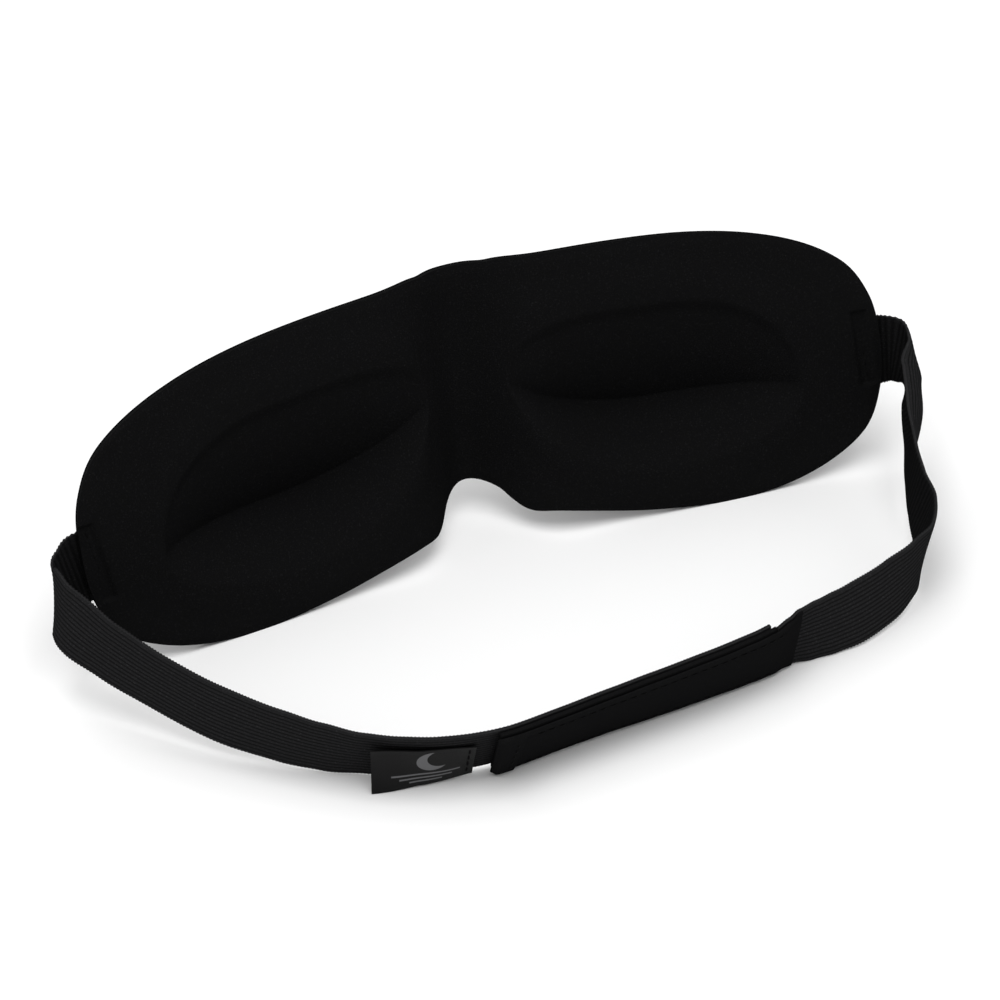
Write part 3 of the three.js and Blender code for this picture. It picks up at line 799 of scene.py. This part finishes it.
def build_nap():
    """Fibre noise: Height for a Bump node, and Fleck, lighter where fibres catch the light."""
    inputs = {"Fibre Scale": 2600, "Clump Scale": 420, "Clump Share": 0.4}
    tree, given, out = new_group("cloth nap", inputs, ["Height", "Fleck"])
    place = tree.nodes.new("ShaderNodeTexCoord").outputs["Object"]
    fine = add(tree, "ShaderNodeTexNoise", {"Vector": place, "Scale": given.outputs["Fibre Scale"],
                                           "Detail": 3.0, "Roughness": 0.65})
    clump = add(tree, "ShaderNodeTexNoise", {"Vector": place, "Scale": given.outputs["Clump Scale"],
                                            "Detail": 2.0, "Roughness": 0.5})
    height = add(tree, "ShaderNodeMix", {"Factor": given.outputs["Clump Share"],
                                        "A": fine.outputs["Fac"], "B": clump.outputs["Fac"]})
    tree.links.new(height.outputs["Result"], out.inputs["Height"])
    fleck = add(tree, "ShaderNodeMapRange", {"Value": fine.outputs["Fac"],
                                            "From Min": 0.56, "From Max": 0.72})
    tree.links.new(fleck.outputs["Result"], out.inputs["Fleck"])
    return tree


def build_weave():
    """Threads over and under each other, with pitches in millimetres on the flat cloth."""
    tree, given, out = new_group("weave", {"Along Pitch": 0.6, "Across Pitch": 0.6}, ["Height", "Gap"])
    flat = add(tree, "ShaderNodeUVMap", uv_map="cloth").outputs["UV"]
    split = add(tree, "ShaderNodeSeparateXYZ", {"Vector": flat})
    u, v = (calc(tree, "MULTIPLY", calc(tree, "DIVIDE", split.outputs[way], given.outputs[pitch]), math.pi)
            for way, pitch in (("X", "Along Pitch"), ("Y", "Across Pitch")))
    wave_u, wave_v = calc(tree, "SINE", u), calc(tree, "SINE", v)
    turn = calc(tree, "MULTIPLY", calc(tree, "COSINE", u), calc(tree, "COSINE", v))
    over = calc(tree, "MULTIPLY", wave_u, wave_v)
    height = calc(tree, "ADD", calc(tree, "ABSOLUTE", over), calc(tree, "MULTIPLY", turn, 0.25))
    tree.links.new(height, out.inputs["Height"])
    thread = calc(tree, "MINIMUM", calc(tree, "MULTIPLY", calc(tree, "ABSOLUTE", over), 3.0), 1.0)
    tree.links.new(calc(tree, "SUBTRACT", 1.0, thread), out.inputs["Gap"])
    return tree


NAP, WEAVE = build_nap(), build_weave()
print("node groups:", NAP.name, "and", WEAVE.name)

# %% [markdown]
# ## Materials: the cloths
# Each cloth is its own mix of nap and weave. All are black, so they differ by how rough and how glossy
# they are, and how the surface breaks up the light.

# %% cloth materials
def cloth(name, dark, light, roughness, sheen, gloss, nap, weave=None, relief=(0.00012, 0.00008)):
    """A black cloth. nap and weave are the groups' inputs; relief is their heights in metres."""
    made = bpy.data.materials.new(name)
    made.use_nodes = True
    tree = made.node_tree
    shader = tree.nodes["Principled BSDF"]
    shader.inputs["Roughness"].default_value = roughness
    shader.inputs["Sheen Weight"].default_value = sheen
    shader.inputs["Sheen Roughness"].default_value = 0.4
    shader.inputs["Specular IOR Level"].default_value = gloss
    fibres = add(tree, "ShaderNodeGroup", node_tree=NAP)
    for key, value in nap.items():
        fibres.inputs[key].default_value = value
    shade = fibres.outputs["Fleck"]
    bump = add(tree, "ShaderNodeBump", {"Height": fibres.outputs["Height"], "Distance": relief[0],
                                       "Strength": 1.0})
    if weave:
        woven = add(tree, "ShaderNodeGroup", node_tree=WEAVE)
        for key, value in weave.items():
            woven.inputs[key].default_value = value
        bump = add(tree, "ShaderNodeBump", {"Height": woven.outputs["Height"], "Distance": relief[1],
                                           "Strength": 1.0, "Normal": bump.outputs["Normal"]})
        shade = calc(tree, "MULTIPLY", shade, calc(tree, "SUBTRACT", 1.0, woven.outputs["Gap"]))
    colour = add(tree, "ShaderNodeMix", {"Factor": shade, "A": (*dark, 1), "B": (*light, 1)},
                 data_type="RGBA")
    tree.links.new(colour.outputs["Result"], shader.inputs["Base Color"])
    tree.links.new(bump.outputs["Normal"], shader.inputs["Normal"])
    return made


def grey(value):
    """A grey that is a very little blue, as dyed black cloth is."""
    return (value, value, value * 1.04)


lining_cloth = cloth("brushed knit", grey(0.0055), grey(0.0125), 0.95, 0, 0,
                     {"Fibre Scale": 2400, "Clump Scale": 380, "Clump Share": 0.35}, relief=(0.00022, 0))
foam_cloth = cloth("cut foam", grey(0.006), grey(0.016), 0.9, 0, 0.02,
                   {"Fibre Scale": 1800, "Clump Scale": 900, "Clump Share": 0.5}, relief=(0.0003, 0))
cover_cloth = cloth("smooth knit", grey(0.007), grey(0.013), 0.85, 0, 0.02,
                    {"Fibre Scale": 2600, "Clump Scale": 500, "Clump Share": 0.25},
                    {"Along Pitch": 0.55, "Across Pitch": 0.75}, (0.00005, 0.00009))
elastic_cloth = cloth("ribbed elastic", grey(0.0165), grey(0.047), 0.8, 0, 0,
                      {"Fibre Scale": 2600, "Clump Scale": 700, "Clump Share": 0.25},
                      {"Along Pitch": 0.32, "Across Pitch": STRAP_WIDTH / RIBS / 2}, (0.00004, 0.00004))
tape_cloth = cloth("woven tape", grey(0.0068), grey(0.0125), 0.85, 0, 0,
                   {"Fibre Scale": 2600, "Clump Scale": 600, "Clump Share": 0.25},
                   {"Along Pitch": 0.4, "Across Pitch": 0.32}, (0.00003, 0.00003))
thread_cloth = cloth("sewing thread", grey(0.0025), grey(0.005), 0.7, 0, 0.04,
                     {"Fibre Scale": 3600, "Clump Scale": 1500, "Clump Share": 0.4}, relief=(0.00008, 0))

# Widths and shares for the elastic's colour: a painted highlight along its edges, painted shade between its
# ribs, a darker inside, and rows across it.
EDGE_HIGHLIGHT_WIDTH, ROW_PITCH = 0.15, 1.5
EDGE_HIGHLIGHT_SHARE, GROOVE_SHADE_SHARE, INSIDE_SHARE, ROW_SHARE = 0.4, 0.6, 0.75, 0.25


def wave(tree, place, pitch):
    """A wave from 0 to 1 that is highest at 0 and at each pitch from it."""
    turn = calc(tree, "MULTIPLY", place, 2 * math.pi / pitch)
    return calc(tree, "MULTIPLY", calc(tree, "ADD", calc(tree, "COSINE", turn), 1.0), 0.5)


def line_elastic(material):
    """Elastic has painted shade in the grooves between its ribs, is darker inside with rows across, and has
    a painted highlight along its edges.
    """
    tree = material.node_tree
    shader = tree.nodes["Principled BSDF"]
    flat = add(tree, "ShaderNodeUVMap", uv_map="cloth").outputs["UV"]
    split = add(tree, "ShaderNodeSeparateXYZ", {"Vector": flat})
    inside = calc(tree, "GREATER_THAN", split.outputs["Y"], INSIDE_UV / 2)
    outside = calc(tree, "SUBTRACT", 1.0, inside)
    beside = calc(tree, "SUBTRACT", split.outputs["Y"], calc(tree, "MULTIPLY", inside, INSIDE_UV))
    # A painted highlight: a thin band along both long edges is lightened in the colour, standing in for
    # light on the weft loops.
    edge = calc(tree, "GREATER_THAN", calc(tree, "ABSOLUTE", beside), STRAP_WIDTH / 2 - EDGE_HIGHLIGHT_WIDTH)
    # Painted shade: the colour of the outer face darkens in each groove between the ribs.
    groove = wave(tree, calc(tree, "ADD", beside, STRAP_WIDTH / 2), STRAP_WIDTH / RIBS)
    groove = calc(tree, "MULTIPLY", calc(tree, "MULTIPLY", groove, groove), GROOVE_SHADE_SHARE)
    rows = calc(tree, "MULTIPLY", wave(tree, split.outputs["X"], ROW_PITCH), ROW_SHARE)
    shade = calc(tree, "ADD", calc(tree, "MULTIPLY", outside, groove),
                 calc(tree, "MULTIPLY", inside, calc(tree, "SUBTRACT", INSIDE_SHARE, rows)))
    ground = shader.inputs["Base Color"].links[0].from_socket
    dull = add(tree, "ShaderNodeMix", {"Factor": shade, "A": ground, "B": (*grey(0.001), 1)},
               data_type="RGBA")
    # The painted edge highlight is mixed over the rest of the colour here.
    light = add(tree, "ShaderNodeMix", {"Factor": calc(tree, "MULTIPLY", edge, EDGE_HIGHLIGHT_SHARE),
                                       "A": dull.outputs["Result"], "B": (*grey(0.04), 1)},
                data_type="RGBA")
    tree.links.new(light.outputs["Result"], shader.inputs["Base Color"])


line_elastic(elastic_cloth)

for piece, material in ((lining, lining_cloth), (foam, foam_cloth), (cover, cover_cloth),
                        (left_elastic, elastic_cloth), (right_elastic, elastic_cloth),
                        (closure_elastic, elastic_cloth), (loop_side, tape_cloth), (hook_side, tape_cloth),
                        *((seam, thread_cloth) for seam in threads)):
    piece.data.materials.append(material)
print(len(bpy.data.materials), "materials so far")

# %% [markdown]
# ## The label's picture
# The tag is woven in two greys. A crescent moon is one disc with a second disc cut out of it,
# and below it are thin rules of different lengths where a maker would weave washing advice.

# %% satin label
# Each rule's place across the label, and its start and end along it.
RULES = [(-2.6, 5, 22.5), (-4.1, 7, 20.5), (-5.5, 9.5, 18)]
HALF_RULE = 0.3


def satin_material():
    """Black satin with a woven crescent and rules in grey."""
    made = cloth("black satin", grey(0.0032), grey(0.0055), 0.55, 0, 0.1,
                 {"Fibre Scale": 2600, "Clump Scale": 700, "Clump Share": 0.3},
                 {"Along Pitch": 0.3, "Across Pitch": 0.16}, (0.00001, 0.00001))
    tree = made.node_tree
    shader = tree.nodes["Principled BSDF"]
    flat = add(tree, "ShaderNodeUVMap", uv_map="cloth").outputs["UV"]

    def disc(x, y, radius):
        apart = add(tree, "ShaderNodeVectorMath", {0: flat, 1: (x, y, 0)}, operation="DISTANCE")
        return calc(tree, "LESS_THAN", apart.outputs["Value"], radius)

    split = add(tree, "ShaderNodeSeparateXYZ", {"Vector": flat})
    outside_bite = calc(tree, "SUBTRACT", 1.0, disc(17.2, 3.6, 3.3))
    mark = calc(tree, "MULTIPLY", disc(15.2, 2.6, 3.9), outside_bite)
    for height, start, end in RULES:
        near = calc(tree, "COMPARE", split.outputs["Y"], height)
        near.node.inputs[2].default_value = HALF_RULE
        inside = calc(tree, "COMPARE", split.outputs["X"], (start + end) / 2)
        inside.node.inputs[2].default_value = (end - start) / 2
        mark = calc(tree, "MAXIMUM", mark, calc(tree, "MULTIPLY", near, inside))
    ground = shader.inputs["Base Color"].links[0].from_socket
    colour = add(tree, "ShaderNodeMix", {"Factor": mark, "A": ground, "B": (*grey(0.11), 1)},
                 data_type="RGBA")
    tree.links.new(colour.outputs["Result"], shader.inputs["Base Color"])
    return made


tag.data.materials.append(satin_material())
print("the label has its crescent")
